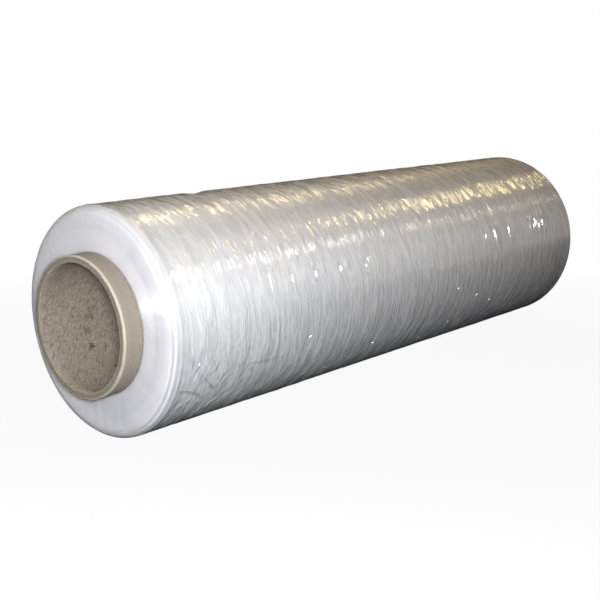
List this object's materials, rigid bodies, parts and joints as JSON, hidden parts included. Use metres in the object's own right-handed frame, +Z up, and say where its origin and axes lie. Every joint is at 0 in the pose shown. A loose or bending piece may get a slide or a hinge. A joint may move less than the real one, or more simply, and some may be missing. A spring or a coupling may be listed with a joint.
{
  "type": "stretch wrap roll",
  "caption": "Hand roll of clear stretch film wound on a chipboard tube that stands out at both ends, for wrapping pallets and boxes.",
  "frame": {"origin": "on the ground under the middle of the roll, which lies on its flat spot", "axes": "+X along the roll's axis and its tube's bore, +Y across the roll, +Z up; the end that faces the viewer in the picture is at -X"},
  "size_m": [0.4826, 0.14, 0.1392],
  "materials": {
    "film": "clear film, milky where its turns lie on each other, glossy with fine ridges and creases round the roll",
    "chipboard": "bare grey-brown chipboard, spirally wound, with fibres and specks and a rough sawn end"
  },
  "bodies": {
    "root": {"core_tube": "chipboard", "film_roll": "film"}
  },
  "joints": []
}
